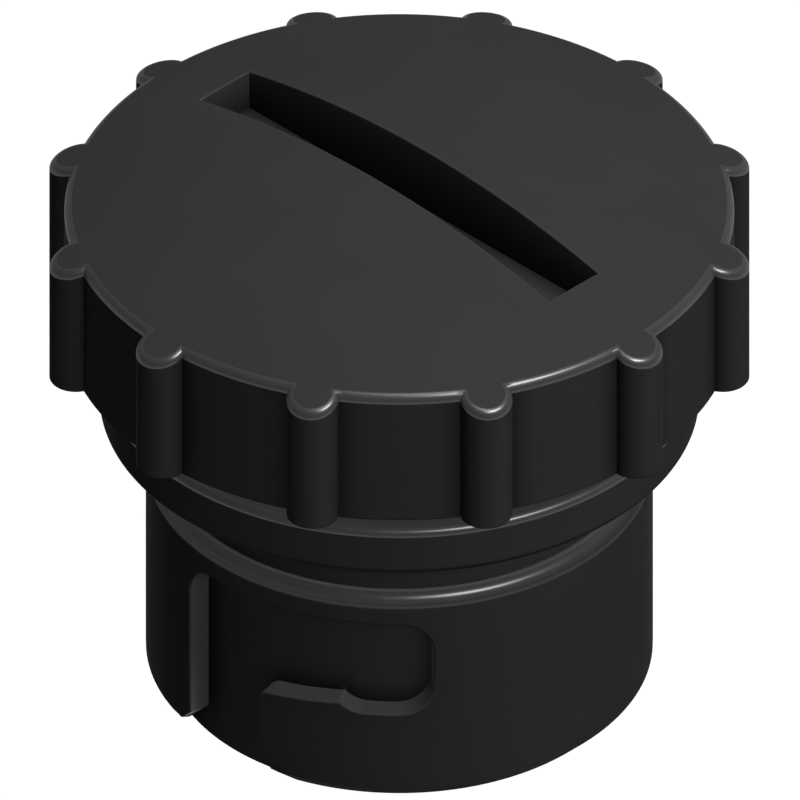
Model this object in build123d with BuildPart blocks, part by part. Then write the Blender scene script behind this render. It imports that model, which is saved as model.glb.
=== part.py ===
"""Protective cap: a moulded plug that closes a bayonet socket.

The cap is one moulding. From the top down it has a domed knob with grip ribs and a coin slot, a gap for a
retaining strap, a flange, a neck and a hollow plug body with two bayonet grooves.
The origin is at the middle of the plug's lower rim, with +Z along the cap's axis towards the knob.
Sizes are in mm and angles in degrees.
"""

import os
from math import degrees, radians, sqrt, tan

from build123d import *

# Plug body
body_d = 21.05
body_h = 9.9
lead_in = 0.7

# Neck, set in from the body by a ledge
ledge = 0.75
ledge_fillet = 0.45
neck_h = 1.07

# Flange, which stands out past the body. Its underside is a small flat ring outside a large root fillet.
flange_lip = 1.925
flange_h = 2.25
flange_flat = 0.375
flange_low_fillet = 0.4
flange_top_fillet = 0.3

# Gap for the retaining strap
strap_gap = 1.6

# Knob, crowned on top
knob_d = 27.8
knob_crown_h = 8.35
dome_r = 46.0
knob_fillet = 0.3

# Grip ribs, half round, centred on the knob's wall
rib_count = 12
rib_r = 1.1

# Coin slot across the knob
slot_l = 20.45
slot_w = 2.85
slot_depth = 3.0

# Hollow inside the plug, with draft for the mould's core
neck_wall = 1.775
hollow_draft = 0.5
hollow_roof = 2.0
hollow_fillet = 0.8
rim_chamfer = 0.3

# Bayonet grooves: a flared entry, a ramp up to a crest, and a seat where the lug locks
groove_count = 2
groove_start = -90.0
groove_depth = 0.95
roof_land = 0.9
entry_w = 3.95
entry_flare = 1.35
channel_h = 4.1
channel_fillet = 1.45
foot_fillet = 0.7
ramp_angle = 6.3
seat_drop = 0.42
lock_turn = 42.2

# How far a cutter runs past the surface that it cuts
cut_over = 1.0

# Radii
body_r = body_d / 2
neck_r = body_r - ledge
flange_r = body_r + flange_lip
knob_r = knob_d / 2
hollow_r = neck_r - neck_wall
root_fillet = flange_r - neck_r - flange_flat - flange_low_fillet
groove_floor_r = body_r - groove_depth
groove_cut_r = body_r + cut_over

# Heights up the axis
neck_top_z = body_h + neck_h
flange_low_z = neck_top_z + root_fillet
flange_top_z = flange_low_z + flange_h
knob_low_z = flange_top_z + strap_gap
cap_h = knob_low_z + knob_crown_h
slot_floor_z = cap_h - slot_depth
hollow_h = slot_floor_z - hollow_roof

# Heights and turns of a groove. Turns count from the middle of its entry.
roof_z = body_h - roof_land
crest_z = roof_z - channel_h
seat_z = crest_z - seat_drop
entry_half = degrees(entry_w / 2 / body_r)
crest_turn = lock_turn - entry_half
end_turn = lock_turn + entry_half
seat_lead = sqrt(seat_drop * (2 * channel_fillet - seat_drop))
ramp_fall = groove_cut_r * tan(radians(ramp_angle))


def wall_point(turn, z):
    """Point at a turn and a height, halfway down a groove's side wall."""
    return Vector(body_r - groove_depth / 2, 0, z).rotate(Axis.Z, turn)


# Cutter for one groove, made with its entry on +X and its run turning towards +Y
with BuildPart() as groove:
    # Run
    with BuildSketch(Plane.XZ):
        Rectangle(groove_cut_r, roof_z, align=Align.MIN)
    revolve(axis=Axis.Z, revolution_arc=end_turn)

    # Island that the run leaves standing: a ramp, its crest, and a seat whose near corner is round
    with BuildSketch(Plane.YZ.rotated((0, 0, crest_turn))):
        with BuildLine():
            crest = (0, crest_z)
            seat = (seat_lead, seat_z)
            TangentArc(seat, crest, tangent=(-1, 0))
            Polyline(
                crest,
                (-groove_cut_r, crest_z - ramp_fall),
                (-groove_cut_r, -cut_over),
                (groove_cut_r, -cut_over),
                (groove_cut_r, seat_z),
                seat,
            )
        make_face()
    extrude(amount=groove_cut_r + cut_over, mode=Mode.SUBTRACT)

    # Entry, open at the rim, with a flare on each side of its mouth
    with BuildSketch(Plane.XZ.rotated((0, 0, -entry_half))):
        with Locations((0, -cut_over)):
            Rectangle(groove_cut_r, cut_over + roof_z, align=Align.MIN)
    revolve(axis=Axis.Z, revolution_arc=2 * entry_half)
    for side in (-1, 1):
        with BuildSketch(Plane.YZ.rotated((0, 0, side * entry_half))):
            with BuildLine():
                flare_low = (side * (entry_flare + cut_over), -cut_over)
                Polyline((0, -cut_over), flare_low, (0, entry_flare), close=True)
            make_face()
        extrude(amount=groove_cut_r)

    # Floor of the groove
    with Locations((0, 0, -cut_over)):
        Cylinder(
            groove_floor_r,
            cut_over + roof_z,
            align=(Align.CENTER, Align.CENTER, Align.MIN),
            mode=Mode.SUBTRACT,
        )

    # Rounded foot of the ramp, and rounded corners of the channel
    walls = groove.faces().filter_by(GeomType.PLANE)
    foot_wall = walls.sort_by_distance(wall_point(entry_half, seat_z / 2))[0]
    entry_wall = walls.sort_by_distance(wall_point(-entry_half, seat_z))[0]
    end_wall = walls.sort_by_distance(wall_point(end_turn, (seat_z + roof_z) / 2))[0]
    foot = foot_wall.edges().group_by(Axis.Z)[-1]
    corners = entry_wall.edges().group_by(Axis.Z)[-1]
    corners += end_wall.edges().group_by(Axis.Z)[-1]
    corners += end_wall.edges().group_by(Axis.Z)[0]
    fillet(foot, foot_fillet)
    fillet(corners, channel_fillet)


def corner_of(section, r, z):
    """Corner of a turned section at a radius and a height."""
    return section.vertices().sort_by_distance((r, z))[0]


with BuildPart() as cap:
    # Plug body, neck, flange and the core inside the strap gap are turned as one section.
    # The core is as thick as the neck.
    with BuildSketch(Plane.XZ) as section:
        with BuildLine():
            Polyline(
                (0, 0),
                (body_r, 0),
                (body_r, body_h),
                (neck_r, body_h),
                (neck_r, flange_low_z),
                (flange_r, flange_low_z),
                (flange_r, flange_top_z),
                (neck_r, flange_top_z),
                (neck_r, knob_low_z),
                (0, knob_low_z),
                close=True,
            )
        make_face()
        chamfer(corner_of(section, body_r, 0), lead_in)
        fillet(corner_of(section, neck_r, body_h), ledge_fillet)
        fillet(corner_of(section, neck_r, flange_low_z), root_fillet)
        fillet(corner_of(section, flange_r, flange_low_z), flange_low_fillet)
        fillet(corner_of(section, flange_r, flange_top_z), flange_top_fillet)
    revolve(axis=Axis.Z)

    # Knob and its grip ribs, then the dome that crowns both. The sphere lies on its side, which keeps its poles
    # and its seam off the crown.
    with BuildSketch(Plane.XY.offset(knob_low_z)):
        Circle(knob_r)
        with PolarLocations(knob_r, rib_count):
            Circle(rib_r)
    extrude(amount=knob_crown_h + cut_over)
    with Locations((0, 0, cap_h - dome_r)):
        Sphere(dome_r, rotation=(90, 0, 0), mode=Mode.INTERSECT)
    dome = cap.faces().filter_by(GeomType.SPHERE).sort_by(Axis.Z)[-1]
    fillet(dome.outer_wire().edges(), knob_fillet)

    # Coin slot
    with BuildSketch(Plane.XY.offset(slot_floor_z)):
        Rectangle(slot_l, slot_w)
    extrude(amount=slot_depth + cut_over, mode=Mode.SUBTRACT)

    # Hollow, open at the plug's rim and drafted towards its ceiling
    with BuildSketch(Plane.XZ) as core:
        with BuildLine():
            Polyline(
                (0, 0),
                (hollow_r + rim_chamfer, 0),
                (hollow_r, rim_chamfer),
                (hollow_r - hollow_h * tan(radians(hollow_draft)), hollow_h),
                (0, hollow_h),
                close=True,
            )
        make_face()
        fillet(corner_of(core, hollow_r, hollow_h), hollow_fillet)
    revolve(axis=Axis.Z, mode=Mode.SUBTRACT)

    # Bayonet grooves round the plug body
    with PolarLocations(0, groove_count, start_angle=groove_start):
        add(groove.part, mode=Mode.SUBTRACT)

cap.part.label = "cap"

os.makedirs("parts", exist_ok=True)
export_step(cap.part, "parts/cap.step")
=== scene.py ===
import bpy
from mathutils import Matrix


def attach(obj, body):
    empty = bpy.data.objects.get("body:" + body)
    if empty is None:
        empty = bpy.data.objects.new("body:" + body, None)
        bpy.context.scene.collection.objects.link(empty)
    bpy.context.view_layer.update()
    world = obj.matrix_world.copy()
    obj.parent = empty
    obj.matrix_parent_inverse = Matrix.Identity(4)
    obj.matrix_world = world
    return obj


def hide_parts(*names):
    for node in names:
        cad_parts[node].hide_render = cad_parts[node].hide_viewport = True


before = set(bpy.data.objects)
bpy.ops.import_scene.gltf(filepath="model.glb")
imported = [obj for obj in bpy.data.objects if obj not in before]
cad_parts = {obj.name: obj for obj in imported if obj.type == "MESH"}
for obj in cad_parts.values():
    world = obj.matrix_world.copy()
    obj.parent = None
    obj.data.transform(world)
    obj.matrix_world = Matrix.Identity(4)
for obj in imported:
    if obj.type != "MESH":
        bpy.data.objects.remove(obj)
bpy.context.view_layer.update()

from math import asin, atan, atan2, ceil, cos, degrees, hypot, pi, radians, sin, sqrt, tan

import bmesh
import bpy
import numpy as np
from mathutils import Matrix, Vector
from mathutils.geometry import delaunay_2d_cdt
from mathutils.kdtree import KDTree


# Turned middle of the cap: shoulder of the plug, neck, flange and the core that the strap turns on.
# The whole cap is one injection moulding in black plastic, so every part of it here ends up in one mesh.
# Sizes are in mm, and heights count from the plug's rim. The mould leaves a hair's radius on each sharp edge.
mm = 0.001
full_turn = 360
body_r, body_h = 10.525, 9.9
ledge, neck_h = 0.75, 1.07
flange_lip, flange_h = 1.925, 2.25
strap_gap = 1.6
ledge_fillet, root_fillet, flange_low_fillet, flange_top_fillet = 0.45, 1.9, 0.4, 0.3
edge_r = 0.08
edge_steps, fillet_steps = 4, 12
hold = 0.05
neck_r = body_r - ledge
flange_r = body_r + flange_lip
flange_low_z = body_h + neck_h + root_fillet
flange_top_z = flange_low_z + flange_h
knob_low_z = flange_top_z + strap_gap
wall_top_z = body_h - edge_r - hold


def steps(start, end, count):
    """Evenly spaced values from start to end, both included."""
    return [start + (end - start) * i / count for i in range(count + 1)]


def rounded(corners, start, end):
    """Section line through corners given as (radius, height, fillet).

    A narrow flat beside each fillet holds its shading off the faces that it joins.
    """
    line = [start]
    ends = [start] + [corner[:2] for corner in corners] + [end]
    for before, (r, z, fillet), after in zip(ends, corners, ends[2:]):
        if not fillet:
            line.append((r, z))
            continue
        corner = Vector((r, z))
        back = (Vector(before) - corner).normalized()
        on = (Vector(after) - corner).normalized()
        half = back.angle(on) / 2
        length = fillet / tan(half)
        centre = corner + (back + on).normalized() * fillet / sin(half)
        spoke_in = corner + back * length - centre
        spoke_out = corner + on * length - centre
        line.append(tuple(corner + back * (length + hold)))
        for share in steps(0, 1, edge_steps if fillet <= edge_r else fillet_steps):
            line.append(tuple(centre + spoke_in.slerp(spoke_out, share) * fillet))
        line.append(tuple(corner + on * (length + hold)))
    return line + [end]


def on_axis(turn, r, z):
    """Point at a turn in degrees, a radius and a height."""
    return (r * cos(radians(turn)), r * sin(radians(turn)), z)


def strip(rows, closed=False):
    """Points and faces of a skin over rows that hold as many points each."""
    size = len(rows[0])
    faces = []
    for row in range(len(rows) - 1):
        for i in range(size if closed else size - 1):
            j = (i + 1) % size
            faces.append((row * size + i, row * size + j, (row + 1) * size + j, (row + 1) * size + i))
    return [point for row in rows for point in row], faces


def turned(line):
    """Skin of a section line turned once round the axis, with a column at each degree."""
    return strip([[on_axis(turn, r, z) for turn in range(full_turn)] for r, z in line], closed=True)


middle = turned(rounded(
    [
        (body_r, body_h, edge_r),
        (neck_r, body_h, ledge_fillet),
        (neck_r, flange_low_z, root_fillet),
        (flange_r, flange_low_z, flange_low_fillet),
        (flange_r, flange_top_z, flange_top_fillet),
        (neck_r, flange_top_z, 0),
    ],
    start=(body_r, wall_top_z),
    end=(neck_r, knob_low_z),
))


# Hollow of the plug, which the mould's core leaves. Its wall has half a degree of draft, its mouth a small
# chamfer and its ceiling a radius, and it stops 2 mm under the floor of the coin slot.
knob_h, slot_depth = 8.35, 3.0
neck_wall, hollow_roof = 1.775, 2.0
hollow_draft, hollow_fillet = 0.5, 0.8
rim_chamfer = 0.3
cap_h = knob_low_z + knob_h
slot_floor_z = cap_h - slot_depth
hollow_r = neck_r - neck_wall
hollow_h = slot_floor_z - hollow_roof
hollow_top_r = hollow_r - hollow_h * tan(radians(hollow_draft))
mouth_r = hollow_r + rim_chamfer

hollow = turned(rounded(
    [(hollow_r, rim_chamfer, edge_r), (hollow_top_r, hollow_h, hollow_fillet)],
    start=(mouth_r, 0),
    end=(0, hollow_h),
))


# Knob: the grip at the top, with twelve half-round ribs round its wall. Wall and ribs meet the crown in a
# fillet of 0.3 mm that follows the ribs' outline. One rib with its share of the wall is made, then repeated.
knob_r, knob_fillet = 13.9, 0.3
rib_r, rib_count = 1.1, 12
dome_r = 46.0
wall_steps, tip_steps, knob_steps = 8, 36, 10
flat_spacing = 0.6
tiny, same_place = 1e-12, 1e-6


def crown(x, y):
    """Height of the crown, a shallow dome, over a point of the plan."""
    return cap_h - dome_r + sqrt(dome_r ** 2 - x ** 2 - y ** 2)


def rib_line(inset):
    """Outline of one rib and half the wall on each side of it, set in by a distance. The rib is on +X."""
    wall_r = knob_r - inset
    tip_r = rib_r - inset
    x = (wall_r ** 2 - tip_r ** 2 + knob_r ** 2) / (2 * knob_r)
    y = sqrt(wall_r ** 2 - x ** 2)
    half_pitch = full_turn / 2 / rib_count
    foot = degrees(atan2(y, x))
    reach = degrees(atan2(y, x - knob_r))
    wall = [on_axis(turn, wall_r, 0)[:2] for turn in steps(foot, half_pitch, wall_steps)]
    arc = [on_axis(turn, tip_r, 0) for turn in steps(-reach, reach, tip_steps)]
    tip = [(knob_r + x, y) for x, y, _ in arc]
    return [(x, -y) for x, y in reversed(wall)] + tip[1:-1] + wall


def knob_line(inset):
    """Whole outline of the knob, set in by a distance."""
    line = []
    for rib in range(rib_count):
        spin = Matrix.Rotation(2 * pi * rib / rib_count, 2)
        line += [tuple(spin @ Vector(point)) for point in rib_line(inset)[:-1]]
    return line


def quarter(r, count):
    """Steps round a fillet in a right angle, as distances from its two faces, from (r, 0) to (0, r)."""
    return [(r * (1 - sin(a)), r * (1 - cos(a))) for a in steps(0, pi / 2, count)]


def nearest(points, loops):
    """Distance from each point to the nearest edge of the loops."""
    best = np.full(len(points), np.inf)
    for loop in loops:
        ends = np.array(loop)
        for a, b in zip(ends, np.roll(ends, -1, axis=0)):
            run = b - a
            share = np.clip((points - a) @ run / max(run @ run, tiny), 0, 1)
            best = np.minimum(best, np.linalg.norm(points - a - share[:, None] * run, axis=1))
    return best


def inside(points, loops):
    """Whether each point is inside the first loop and outside the others."""
    odd = np.zeros(len(points), bool)
    x, y = points[:, 0], points[:, 1]
    for loop in loops:
        ends = np.array(loop)
        for a, b in zip(ends, np.roll(ends, -1, axis=0)):
            if a[1] != b[1]:
                crosses = (a[1] > y) != (b[1] > y)
                odd ^= crosses & (x < a[0] + (y - a[1]) * (b[0] - a[0]) / (b[1] - a[1]))
    return odd


def filled(loops, spacing, place):
    """Triangles inside the first flat loop and outside the others, laid on a surface by a function."""
    outer = np.array(loops[0])
    low, high = outer.min(axis=0), outer.max(axis=0)
    row_pitch = spacing * sqrt(3) / 2
    grid = []
    for row, v in enumerate(np.arange(low[1], high[1], row_pitch)):
        grid += [(u + spacing / 2 * (row % 2), v) for u in np.arange(low[0], high[0], spacing)]
    grid = np.array(grid)
    grid = grid[inside(grid, loops)]
    grid = grid[nearest(grid, loops) > spacing / 2]
    flat, edges = [], []
    for loop in loops:
        edges += [(len(flat) + i, len(flat) + (i + 1) % len(loop)) for i in range(len(loop))]
        flat += [Vector(point) for point in loop]
    flat += [Vector(point) for point in grid]
    found, _, faces, _, _, _ = delaunay_2d_cdt(flat, edges, [], 0, same_place)
    corners = np.array([tuple(point) for point in found])
    centres = np.array([corners[list(face)].mean(axis=0) for face in faces])
    kept = inside(centres, loops)
    return [place(u, v) for u, v in corners.tolist()], [tuple(f) for f, keep in zip(faces, kept) if keep]


# Each row of the skin round the knob's wall is a distance in, and either a height or a drop below the crown.
edge_rows = [(edge_r + hold, knob_low_z, None)]
edge_rows += [(inset, knob_low_z + rise, None) for inset, rise in quarter(edge_r, edge_steps)]
edge_rows += [(0, knob_low_z + edge_r + hold, None), (0, None, knob_fillet + hold)]
edge_rows += [(inset, None, drop) for drop, inset in quarter(knob_fillet, knob_steps)]
edge_rows += [(knob_fillet + hold, None, 0)]
rib_sector = strip([
    [(x, y, z if drop is None else crown(x, y) - drop) for x, y in rib_line(inset)]
    for inset, z, drop in edge_rows
])
core_line = [on_axis(turn, neck_r, 0)[:2] for turn in range(full_turn)]
underside = filled([knob_line(edge_r + hold), core_line], flat_spacing, lambda x, y: (x, y, knob_low_z))


# Crown and coin slot: the shallow dome on the knob, cut by a straight slot for a coin or a blade. The slot's
# walls are upright and its floor is flat.
slot_l, slot_w = 20.45, 2.85
side_steps, end_steps = 48, 8
crown_spacing = 0.55


def slot_line(offset):
    """Outline of the slot, widened by a distance all round."""
    x, y = slot_l / 2 + offset, slot_w / 2 + offset
    line = []
    for x0, y0, x1, y1, count in (
        (-x, -y, x, -y, side_steps),
        (x, -y, x, y, end_steps),
        (x, y, -x, y, side_steps),
        (-x, y, -x, -y, end_steps),
    ):
        line += list(zip(steps(x0, x1, count), steps(y0, y1, count)))[:-1]
    return line


crown_skin = filled(
    [knob_line(knob_fillet + hold), slot_line(edge_r + hold)],
    crown_spacing,
    lambda x, y: (x, y, crown(x, y)),
)
slot_rows = [[(x, y, crown(x, y)) for x, y in slot_line(edge_r + hold)]]
for offset, drop in quarter(edge_r, edge_steps):
    slot_rows.append([(x, y, crown(x, y) - drop) for x, y in slot_line(offset)])
slot_rows.append([(x, y, slot_floor_z) for x, y in slot_line(0)])
slot_walls = strip(slot_rows, closed=True)
slot_floor = filled([slot_line(0)], flat_spacing, lambda x, y: (x, y, slot_floor_z))


# Bayonet grooves: two L-shaped channels in the plug's wall, half a turn apart, which take the socket's lugs.
# A lug enters at the flared mouth, climbs the ramp, drops off the crest and rests in the seat. Turns are in
# degrees from the middle of the entry. One groove with its half of the plug's wall is made, then repeated.
groove_count, groove_start = 2, -90
groove_depth, roof_land = 0.95, 0.9
lead_in = 0.7
channel_h, entry_w, flare = 4.1, 3.95, 1.35
corner_r, foot_r = 1.45, 0.7
ramp_angle, seat_drop = 6.3, 0.42
lock_turn = 42.2
corner_steps, bow_steps, entry_steps, roof_steps, stop_steps, ramp_steps = 12, 8, 14, 48, 4, 24
plug_steps = 30
groove_spacing = 0.4
floor_r = body_r - groove_depth
roof_z = body_h - roof_land
crest_z = roof_z - channel_h
seat_z = crest_z - seat_drop
ramp = tan(radians(ramp_angle))
entry_half = degrees(entry_w / 2 / body_r)
crest_turn = lock_turn - entry_half
end_turn = lock_turn + entry_half
half_share = full_turn // 2 // groove_count


def skin_r(z):
    """Radius of the plug's outer wall at a height, with the lead-in chamfer at its rim."""
    return min(body_r, body_r - lead_in + max(z, 0))


def groove_line(radius):
    """Outline of a groove as (turn, height), at the radius that a function gives for each height.

    It starts at the left foot of the mouth, runs up and over the roof to the end wall, and comes back along
    the seat, the crest and the ramp to the right foot of the mouth.
    """
    def at(anchor, x, z):
        """Place at a flat distance from a turn."""
        return (anchor + degrees(asin(x / radius(z))), z)

    def bow(anchor, x, z, r, start, end, count):
        """Arc about a place, from one angle to another."""
        angles = [radians(a) for a in steps(start, end, count)]
        return [at(anchor, x + r * cos(a), z + r * sin(a)) for a in angles]

    def straight(start, end, count):
        """Line from one place to another."""
        return list(zip(steps(start[0], end[0], count), steps(start[1], end[1], count)))

    r = radius(crest_z)
    seat_lead = sqrt(seat_drop * (2 * corner_r - seat_drop))
    seat_bow_end = 180 + degrees(asin((corner_r - seat_drop) / corner_r))
    foot_turn = entry_half + degrees(foot_r / r)
    slope = ramp * cos(radians(foot_turn - crest_turn)) / cos(radians(foot_turn - entry_half))
    lean = degrees(atan(slope))
    foot_z = crest_z + r * sin(radians(foot_turn - crest_turn)) * ramp - foot_r * sqrt(1 + slope ** 2)
    mouth = [at(-entry_half, -x, flare - x) for x in steps(flare, 0, bow_steps)]
    left_wall = [(-entry_half, z) for z in steps(flare, roof_z - corner_r, entry_steps)]
    near_corner = bow(-entry_half, corner_r, roof_z - corner_r, corner_r, 180, 90, corner_steps)
    far_corner = bow(end_turn, -corner_r, roof_z - corner_r, corner_r, 90, 0, corner_steps)
    low_corner = bow(end_turn, -corner_r, seat_z + corner_r, corner_r, 0, -90, corner_steps)
    seat_bow = bow(crest_turn, seat_lead, seat_z + corner_r, corner_r, 270, seat_bow_end, bow_steps)
    foot = bow(entry_half, foot_r, foot_z, foot_r, 90 + lean, 180, bow_steps)
    climb = []
    for turn in steps(crest_turn, foot[0][0], ramp_steps):
        climb.append((turn, crest_z + r * sin(radians(turn - crest_turn)) * ramp))
    line = mouth + left_wall[1:] + near_corner[1:]
    line += straight(near_corner[-1], far_corner[0], roof_steps)[1:] + far_corner[1:]
    line += straight(far_corner[-1], low_corner[0], stop_steps)[1:] + low_corner[1:]
    line += straight(low_corner[-1], seat_bow[0], bow_steps)[1:] + seat_bow[1:] + climb[1:-1] + foot
    line += [(entry_half, z) for z in steps(foot[-1][1], flare, bow_steps)][1:]
    return line + [at(entry_half, x, flare - x) for x in steps(0, flare, bow_steps)][1:]


def widened(line, offset):
    """A groove's outline moved into the wall by a distance. Its two feet stay on the rim."""
    flat = [Vector((radians(turn) * body_r, z)) for turn, z in line]
    moved = []
    for i, point in enumerate(flat):
        back = (point - flat[i - 1]).normalized() if i else None
        on = (flat[i + 1] - point).normalized() if i + 1 < len(flat) else None
        sides = [Vector((-way.y, way.x)) for way in (back, on) if way]
        side = sum(sides, Vector((0, 0))).normalized()
        if len(sides) == 1:
            point = point + Vector((offset / side.x, 0))
        else:
            point = point + side * offset / side.dot(sides[0])
        moved.append((degrees(point.x / body_r), point.y))
    return moved


def unrolled(line):
    """Flat places of points of the plug's wall."""
    return [(radians(turn) * body_r, z) for turn, z in line]


def on_wall(u, z):
    """Point of the plug's wall at a flat place."""
    return on_axis(degrees(u / body_r), skin_r(z), z)


def on_floor(u, z):
    """Point of the groove's floor at a flat place."""
    return on_axis(degrees(u / body_r), floor_r, z)


mouth_line = widened(groove_line(skin_r), edge_r + hold)
groove_rows = [[on_axis(turn, skin_r(z), z) for turn, z in mouth_line]]
for offset, drop in quarter(edge_r, edge_steps):
    line = widened(groove_line(skin_r), offset)
    groove_rows.append([on_axis(turn, skin_r(z) - drop, z) for turn, z in line])
floor_line = groove_line(lambda z: floor_r)
groove_rows.append([on_axis(turn, floor_r, z) for turn, z in floor_line])
groove_walls = strip(groove_rows)

left_foot, right_foot = mouth_line[0][0], mouth_line[-1][0]
rim_left = [(turn, 0) for turn in range(-half_share, ceil(left_foot))]
rim_right = [(turn, 0) for turn in range(int(right_foot) + 1, half_share + 1)]
side = [z for z in steps(0, wall_top_z, plug_steps)][1:-1]
wall_loop = rim_left + mouth_line + rim_right + [(half_share, z) for z in side]
wall_loop += [(turn, wall_top_z) for turn in range(half_share, -half_share - 1, -1)]
wall_loop += [(-half_share, z) for z in reversed(side)]
wall_skin = filled([unrolled(wall_loop)], groove_spacing, on_wall)
mouth_floor = [(turn, 0) for turn in range(int(floor_line[-1][0]), ceil(floor_line[0][0]) - 1, -1)]
floor_skin = filled([unrolled(floor_line + mouth_floor)], groove_spacing, on_floor)


# Rim: the flat lower end of the plug, a ring square to the axis. The mouths of the grooves notch it from
# outside, and the chamfer of the hollow borders it inside.
rim_spacing = 0.5


def turn_and_r(point):
    """Turn in degrees and radius of a point."""
    return degrees(atan2(point[1], point[0])), hypot(*point[:2])


rim_loop = []
for groove in range(groove_count):
    spin = groove_start + full_turn / groove_count * groove
    part = [(turn, skin_r(0)) for turn, _ in rim_left]
    part += [turn_and_r(row[0]) for row in groove_rows]
    part += [(turn, floor_r) for turn, _ in reversed(mouth_floor)]
    part += [turn_and_r(row[-1]) for row in reversed(groove_rows)]
    part += [(turn, skin_r(0)) for turn, _ in rim_right[:-1]]
    rim_loop += [on_axis(turn + spin, r, 0)[:2] for turn, r in part]
mouth_loop = [on_axis(turn, mouth_r, 0)[:2] for turn in range(full_turn)]
rim = filled([rim_loop, mouth_loop], rim_spacing, lambda x, y: (x, y, 0))


# Joining: the ribs and the grooves are repeated round the axis, and all skins are welded into one moulding.
# The plastic is a satin black, as a spark-eroded mould leaves it. The small fillets and the side walls of the
# grooves are polished in the mould. Edges that don't face down are painted a little paler, partly as wear
# and partly as a painted highlight, and inner corners are darkened with painted shade.
weld = 0.001 * mm
hair = 0.001
crease, dome_slack = radians(32), radians(2)
black, cloud_black = (0.03, 0.03, 0.0305), (0.032, 0.032, 0.0325)
# The paler colour is partly edge wear and partly a painted highlight; the corner colour is painted shade.
worn_and_highlighted_black, corner_shade_black = (0.06, 0.06, 0.061), (0.011, 0.011, 0.0112)
fillet_bend, edge_bend, bend_spread = 1.7, 5.0, 1.3
fillet_wear_and_highlight, edge_wear_and_highlight = 0.1, 0.5
lowest_worn_and_highlighted = -0.1
# Reach of the painted shade round inner corners, in mm.
corner_shade_reach = 1.5
noise_low, noise_high = 0.3, 0.7
glancing_start, glancing_full = 0.12, 0.6


def mesh_of(name, skins):
    """Mesh in metres of skins given in mm, with the points that they share merged."""
    data = bmesh.new()
    for points, faces in skins:
        corners = [data.verts.new(Vector(point) * mm) for point in points]
        for face in faces:
            data.faces.new([corners[i] for i in face])
    bmesh.ops.remove_doubles(data, verts=data.verts, dist=weld)
    mesh = bpy.data.meshes.new(name)
    data.to_mesh(mesh)
    data.free()
    return mesh


def repeat_tree():
    """Geometry Nodes tree that repeats a mesh round Z and welds the copies."""
    tree = bpy.data.node_groups.new("Repeat round the axis", "GeometryNodeTree")
    for name, kind in (
        ("Mesh", "Geometry"), ("Count", "Int"), ("First turn", "Float"), ("Weld", "Float"),
        ("Plastic", "Material"),
    ):
        tree.interface.new_socket(name, in_out="INPUT", socket_type="NodeSocket" + kind)
    tree.interface.new_socket("Mesh", in_out="OUTPUT", socket_type="NodeSocketGeometry")
    node, link = tree.nodes.new, tree.links.new
    given, result = node("NodeGroupInput"), node("NodeGroupOutput")
    places, number = node("GeometryNodePoints"), node("GeometryNodeInputIndex")
    pitch, turn, turned_on = node("ShaderNodeMath"), node("ShaderNodeMath"), node("ShaderNodeCombineXYZ")
    copies, real = node("GeometryNodeInstanceOnPoints"), node("GeometryNodeRealizeInstances")
    merge, paint = node("GeometryNodeMergeByDistance"), node("GeometryNodeSetMaterial")
    pitch.operation = "DIVIDE"
    pitch.inputs[0].default_value = 2 * pi
    turn.operation = "MULTIPLY_ADD"
    link(given.outputs["Count"], places.inputs["Count"])
    link(given.outputs["Count"], pitch.inputs[1])
    link(number.outputs["Index"], turn.inputs[0])
    link(pitch.outputs["Value"], turn.inputs[1])
    link(given.outputs["First turn"], turn.inputs[2])
    link(turn.outputs["Value"], turned_on.inputs["Z"])
    link(places.outputs["Points"], copies.inputs["Points"])
    link(given.outputs["Mesh"], copies.inputs["Instance"])
    link(turned_on.outputs["Vector"], copies.inputs["Rotation"])
    link(copies.outputs["Instances"], real.inputs["Geometry"])
    link(real.outputs["Geometry"], merge.inputs["Geometry"])
    link(given.outputs["Weld"], merge.inputs["Distance"])
    link(merge.outputs["Geometry"], paint.inputs["Geometry"])
    link(given.outputs["Plastic"], paint.inputs["Material"])
    link(paint.outputs["Geometry"], result.inputs["Mesh"])
    return tree


def repeated(mesh, tree, values):
    """Plain mesh of the tree's result on a mesh, with its named inputs set to values."""
    thing = bpy.data.objects.new(mesh.name, mesh)
    bpy.context.scene.collection.objects.link(thing)
    modifier = thing.modifiers.new("Repeat", "NODES")
    modifier.node_group = tree
    for socket in tree.interface.items_tree:
        if socket.in_out == "INPUT" and socket.name in values:
            modifier[socket.identifier] = values[socket.name]
    depsgraph = bpy.context.evaluated_depsgraph_get()
    result = bpy.data.meshes.new_from_object(thing.evaluated_get(depsgraph))
    thing.modifiers.remove(modifier)
    bpy.data.objects.remove(thing)
    return result


def bends(data):
    """How tightly the surface bends across each point, in 1/mm. Bulges are above zero and hollows below."""
    tightest = np.zeros(len(data.verts))
    for edge in data.edges:
        one, other = (face.calc_center_median() for face in edge.link_faces)
        bend = edge.calc_face_angle_signed() * mm / max((one - other).length, weld)
        for corner in edge.verts:
            if abs(bend) > abs(tightest[corner.index]):
                tightest[corner.index] = bend
    return tightest


def corner_shade(data, reach):
    """Painted shade near inner corners: 1 in a corner, 0 from a reach in mm away, and 0 on the crown."""
    inner = set()
    for edge in data.edges:
        if edge.calc_face_angle_signed() < -crease:
            inner.update(edge.verts)
    tree = KDTree(len(inner))
    for i, corner in enumerate(inner):
        tree.insert(corner.co, i)
    tree.balance()
    shares = []
    for point in data.verts:
        x, y, z = point.co / mm
        near = max(0, 1 - tree.find(point.co)[2] / (reach * mm))
        shares.append(near ** 2 if crown(x, y) - z > edge_r + hair else 0)
    return np.array(shares)


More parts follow.
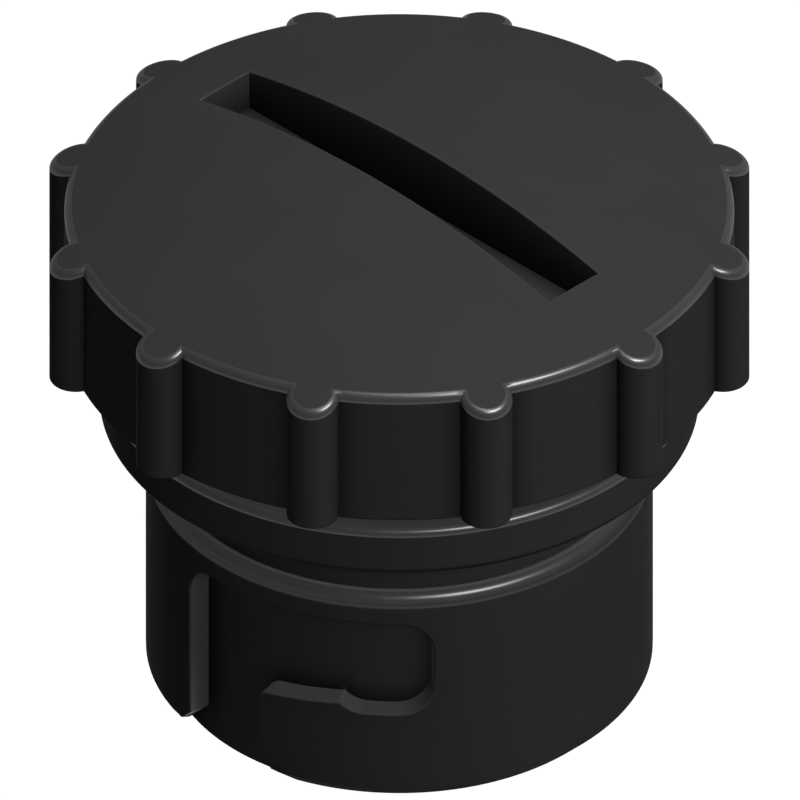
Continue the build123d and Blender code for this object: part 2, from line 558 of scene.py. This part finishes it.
def is_polished(face):
    """Whether a face is in the fillet of the knob, the flange or the ledge, or in a groove's side wall."""
    x, y, z = face.calc_center_median() / mm
    r = hypot(x, y)
    off_dome = face.normal.angle(Vector((x, y, z - cap_h + dome_r)))
    return (
        (r > knob_r - knob_fillet and crown(x, y) - z < knob_fillet and off_dome > dome_slack)
        or (r > flange_r - flange_top_fillet and hair < flange_top_z - z < flange_top_fillet)
        or (neck_r < r < neck_r + ledge_fillet and hair < z - body_h < ledge_fillet)
        or (floor_r + hair < r < body_r - edge_r and lead_in < z < roof_z + hair)
    )


def finish_and_painted_light():
    """Node group for the clouds of tone and gloss and the grain that the mould leaves, paler edges
    that are partly wear and partly a painted highlight, and painted shade in inner corners.
    """
    group = bpy.data.node_groups.new("Finish and painted light", "ShaderNodeTree")
    for name, kind in (
        ("Colour", "Color"), ("Cloud colour", "Color"), ("Worn and highlighted colour", "Color"),
        ("Corner shade colour", "Color"), ("Wear_and_highlight", "Float"), ("Corner_shade", "Float"),
        ("Roughness", "Float"), ("Grain depth", "Float"),
    ):
        group.interface.new_socket(name, in_out="INPUT", socket_type="NodeSocket" + kind)
    for name, kind in (("Colour", "Color"), ("Roughness", "Float"), ("Normal", "Vector")):
        group.interface.new_socket(name, in_out="OUTPUT", socket_type="NodeSocket" + kind)
    nodes, link = group.nodes, group.links.new
    given, result = nodes.new("NodeGroupInput"), nodes.new("NodeGroupOutput")
    place = nodes.new("ShaderNodeTexCoord")

    def clouds(size, detail, low, high):
        """Noise of a size in mm, between two values."""
        texture, spread = nodes.new("ShaderNodeTexNoise"), nodes.new("ShaderNodeMapRange")
        texture.inputs["Scale"].default_value = 1 / (size * mm)
        texture.inputs["Detail"].default_value = detail
        spread.inputs["From Min"].default_value = noise_low
        spread.inputs["From Max"].default_value = noise_high
        spread.inputs["To Min"].default_value = low
        spread.inputs["To Max"].default_value = high
        link(place.outputs["Object"], texture.inputs["Vector"])
        link(texture.outputs["Fac"], spread.inputs["Value"])
        return spread.outputs["Result"]

    def mixed(first, second, share):
        """Mix of two colours, with a share of the second."""
        mix = nodes.new("ShaderNodeMix")
        mix.data_type = "RGBA"
        link(first, mix.inputs["A"])
        link(second, mix.inputs["B"])
        link(share, mix.inputs["Factor"])
        return mix.outputs["Result"]

    wear_and_highlight, gloss = nodes.new("ShaderNodeMath"), nodes.new("ShaderNodeMath")
    grain = nodes.new("ShaderNodeBump")
    wear_and_highlight.operation = "MULTIPLY"
    link(given.outputs["Wear_and_highlight"], wear_and_highlight.inputs[0])
    link(clouds(size=1.1, detail=2, low=0.7, high=1), wear_and_highlight.inputs[1])
    cloudiness = clouds(size=5, detail=3, low=0, high=1)
    tone = mixed(given.outputs["Colour"], given.outputs["Cloud colour"], cloudiness)
    # Painted shade darkens the colour near inner corners.
    corner_shaded = mixed(tone, given.outputs["Corner shade colour"], given.outputs["Corner_shade"])
    # Paler colour on the edges, partly wear and partly a painted highlight.
    link(mixed(corner_shaded, given.outputs["Worn and highlighted colour"], wear_and_highlight.outputs["Value"]), result.inputs["Colour"])
    link(given.outputs["Roughness"], gloss.inputs[0])
    link(clouds(size=0.9, detail=2, low=-0.02, high=0.02), gloss.inputs[1])
    link(gloss.outputs["Value"], result.inputs["Roughness"])
    grain.inputs["Distance"].default_value = mm
    link(given.outputs["Grain depth"], grain.inputs["Strength"])
    link(clouds(size=0.16, detail=2, low=0, high=1), grain.inputs["Height"])
    link(grain.outputs["Normal"], result.inputs["Normal"])
    return group


def black_plastic(name, level, roughness, glancing, grain_depth, masks):
    """Black plastic with a level of gloss, a roughness, what a glancing view adds to it, and its masks."""
    material = bpy.data.materials.new(name)
    material.use_nodes = True
    nodes, link = material.node_tree.nodes, material.node_tree.links.new
    shader = nodes["Principled BSDF"]
    shader.inputs["Specular IOR Level"].default_value = level
    surface = nodes.new("ShaderNodeGroup")
    surface.node_tree = finish
    surface.inputs["Colour"].default_value = (*black, 1)
    surface.inputs["Cloud colour"].default_value = (*cloud_black, 1)
    surface.inputs["Worn and highlighted colour"].default_value = (*worn_and_highlighted_black, 1)
    surface.inputs["Corner shade colour"].default_value = (*corner_shade_black, 1)
    surface.inputs["Roughness"].default_value = roughness
    surface.inputs["Grain depth"].default_value = grain_depth
    for mask in masks:
        share = nodes.new("ShaderNodeAttribute")
        share.attribute_name = mask
        link(share.outputs["Fac"], surface.inputs[mask.capitalize()])
    angle, rise = nodes.new("ShaderNodeLayerWeight"), nodes.new("ShaderNodeMapRange")
    dulled = nodes.new("ShaderNodeMath")
    rise.inputs["From Min"].default_value = glancing_start
    rise.inputs["From Max"].default_value = glancing_full
    rise.inputs["To Max"].default_value = glancing
    link(angle.outputs["Facing"], rise.inputs["Value"])
    link(surface.outputs["Roughness"], dulled.inputs[0])
    link(rise.outputs["Result"], dulled.inputs[1])
    link(dulled.outputs["Value"], shader.inputs["Roughness"])
    link(surface.outputs["Colour"], shader.inputs["Base Color"])
    link(surface.outputs["Normal"], shader.inputs["Normal"])
    return material


finish = finish_and_painted_light()
satin = black_plastic(
    "satin_black_plastic",
    level=0.03, roughness=0.38, glancing=0.5, grain_depth=0.0015, masks=("wear_and_highlight", "corner_shade"),
)
polished = black_plastic(
    "polished_fillet",
    level=0.52, roughness=0.28, glancing=0.3, grain_depth=0.0008, masks=("wear_and_highlight",),
)

tree = repeat_tree()
ribs = repeated(
    mesh_of("grip_ribs", [rib_sector]), tree,
    {"Count": rib_count, "First turn": 0.0, "Weld": weld, "Plastic": satin},
)
grooves = repeated(
    mesh_of("bayonet_grooves", [wall_skin, groove_walls, floor_skin]), tree,
    {"Count": groove_count, "First turn": radians(groove_start), "Weld": weld, "Plastic": satin},
)
moulding = mesh_of("cap_moulding", [middle, hollow, underside, crown_skin, slot_walls, slot_floor, rim])
data = bmesh.new()
for mesh in (moulding, ribs, grooves):
    data.from_mesh(mesh)
bmesh.ops.remove_doubles(data, verts=data.verts, dist=weld)
bmesh.ops.dissolve_degenerate(data, edges=data.edges, dist=weld / 10)
bmesh.ops.recalc_face_normals(data, faces=data.faces)
data.verts.index_update()
data.normal_update()
for face in data.faces:
    face.material_index = int(is_polished(face))
bend = bends(data)
# Paler paint on bulging fillets and edges that don't face down, partly wear and partly a painted highlight.
not_facing_down = np.array([corner.normal.z > lowest_worn_and_highlighted for corner in data.verts])
strength = np.where(bend < edge_bend, fillet_wear_and_highlight, edge_wear_and_highlight)
worn_and_highlighted = np.clip((bend - fillet_bend) / bend_spread, 0, 1) * strength * not_facing_down
# Painted shade near the inner corners, none on the crown.
corner_shaded = corner_shade(data, corner_shade_reach)
data.to_mesh(moulding)
data.free()
moulding.shade_smooth()
moulding.set_sharp_from_angle(angle=crease)
for material in (satin, polished):
    moulding.materials.append(material)
for name, values in (("wear_and_highlight", worn_and_highlighted), ("corner_shade", corner_shaded)):
    moulding.attributes.new(name, "FLOAT", "POINT").data.foreach_set("value", values)
cap = bpy.data.objects.new("cap_moulding", moulding)
bpy.context.scene.collection.objects.link(cap)
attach(cap, "root")
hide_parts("cap")


# Stage: a plain white floor that keeps a soft shadow. To the camera and in reflections it is white, and it
# throws back little light on the object. From below it is clear.
floor_half = 1.5
dim_tone, seen_tone, seen_glow = 0.08, 0.35, 0.7


def seen(nodes, link):
    """1 for what the camera sees, directly, in a gloss or through glass, and 0 for light on its way."""
    path = nodes.new("ShaderNodeLightPath")
    either, any_of_three = nodes.new("ShaderNodeMath"), nodes.new("ShaderNodeMath")
    either.operation = any_of_three.operation = "MAXIMUM"
    link(path.outputs["Is Camera Ray"], either.inputs[0])
    link(path.outputs["Is Glossy Ray"], either.inputs[1])
    link(either.outputs["Value"], any_of_three.inputs[0])
    link(path.outputs["Is Transmission Ray"], any_of_three.inputs[1])
    return any_of_three.outputs["Value"]


floor_mesh = bpy.data.meshes.new("floor")
floor_corners = [(x * floor_half, y * floor_half, 0) for x, y in ((-1, -1), (1, -1), (1, 1), (-1, 1))]
floor_mesh.from_pydata(floor_corners, [], [(0, 1, 2, 3)])
paint = bpy.data.materials.new("white_floor")
paint.use_nodes = True
nodes, link = paint.node_tree.nodes, paint.node_tree.links.new
nodes.clear()
dim, bright = nodes.new("ShaderNodeBsdfDiffuse"), nodes.new("ShaderNodeBsdfDiffuse")
glow, lit = nodes.new("ShaderNodeEmission"), nodes.new("ShaderNodeAddShader")
by_ray, below = nodes.new("ShaderNodeMixShader"), nodes.new("ShaderNodeMixShader")
facing, clear = nodes.new("ShaderNodeNewGeometry"), nodes.new("ShaderNodeBsdfTransparent")
out = nodes.new("ShaderNodeOutputMaterial")
dim.inputs["Color"].default_value = (dim_tone, dim_tone, dim_tone, 1)
bright.inputs["Color"].default_value = (seen_tone, seen_tone, seen_tone, 1)
glow.inputs["Strength"].default_value = seen_glow
link(bright.outputs["BSDF"], lit.inputs[0])
link(glow.outputs["Emission"], lit.inputs[1])
link(seen(nodes, link), by_ray.inputs["Fac"])
link(dim.outputs["BSDF"], by_ray.inputs[1])
link(lit.outputs["Shader"], by_ray.inputs[2])
link(facing.outputs["Backfacing"], below.inputs["Fac"])
link(by_ray.outputs["Shader"], below.inputs[1])
link(clear.outputs["BSDF"], below.inputs[2])
link(below.outputs["Shader"], out.inputs["Surface"])
floor_mesh.materials.append(paint)
floor = bpy.data.objects.new("floor", floor_mesh)
bpy.context.scene.collection.objects.link(floor)


# Light: a dim room, white to the camera and grey in reflections, a key lamp at the upper right that reaches
# under the knob, a soft overhead lamp that gives the shadow, and a weak lamp from behind for the far side.
room_lit, room_mirrored = 0.04, 0.25
lamp_distance = 0.25

room = bpy.data.worlds.new("room")
room.use_nodes = True
nodes, link = room.node_tree.nodes, room.node_tree.links.new
room_light, backdrop = nodes.new("ShaderNodeMapRange"), nodes.new("ShaderNodeMath")
path = nodes.new("ShaderNodeLightPath")
room_light.inputs["To Min"].default_value = room_lit
room_light.inputs["To Max"].default_value = room_mirrored
backdrop.operation = "MAXIMUM"
nodes["Background"].inputs["Color"].default_value = (1, 1, 1, 1)
link(seen(nodes, link), room_light.inputs["Value"])
link(room_light.outputs["Result"], backdrop.inputs[0])
link(path.outputs["Is Camera Ray"], backdrop.inputs[1])
link(backdrop.outputs["Value"], nodes["Background"].inputs["Strength"])
bpy.context.scene.world = room


def lamp(name, turn, height, width, tall, power, shadow=False, gloss=True):
    """Softbox that faces the middle of the cap, at a turn and a height in degrees."""
    light = bpy.data.lights.new(name, "AREA")
    light.shape = "ELLIPSE"
    light.size, light.size_y = width, tall
    light.energy = power
    light.use_shadow = shadow
    holder = bpy.data.objects.new(name, light)
    holder.visible_glossy = gloss
    level = cos(radians(height))
    back = Vector((level * cos(radians(turn)), level * sin(radians(turn)), sin(radians(height))))
    holder.location = Vector((0, 0, cap_h / 2 * mm)) + back * lamp_distance
    holder.rotation_euler = back.to_track_quat("Z", "Y").to_euler()
    bpy.context.scene.collection.objects.link(holder)


lamp("key", turn=3, height=60.5, width=0.13, tall=0.05, power=0.66)
lamp("overhead", turn=-10, height=80, width=0.1, tall=0.1, power=0.12, shadow=True)
lamp("back", turn=140, height=12, width=0.12, tall=0.12, power=0.16, gloss=False)


# Camera: an isometric view without perspective, from the +X and -Y side. It aims at a point near the middle
# of the cap, given as a height and a distance across the picture in mm, and stands well back from it.
picture_w = 33.195
aim_z, aim_across = 13.0355, 0.027
camera_distance, clip_near, clip_far = 0.3, 0.01, 2
camera = bpy.data.objects.new("camera", bpy.data.cameras.new("camera"))
camera.data.type = "ORTHO"
camera.data.ortho_scale = picture_w * mm
camera.data.clip_start, camera.data.clip_end = clip_near, clip_far
towards_camera, across = Vector((1, -1, 1)).normalized(), Vector((1, 1, 0)).normalized()
camera.location = (Vector((0, 0, aim_z)) + across * aim_across) * mm + towards_camera * camera_distance
camera.rotation_euler = towards_camera.to_track_quat("Z", "Y").to_euler()
bpy.context.scene.collection.objects.link(camera)
bpy.context.scene.camera = camera
bpy.context.scene.view_settings.view_transform = "Standard"
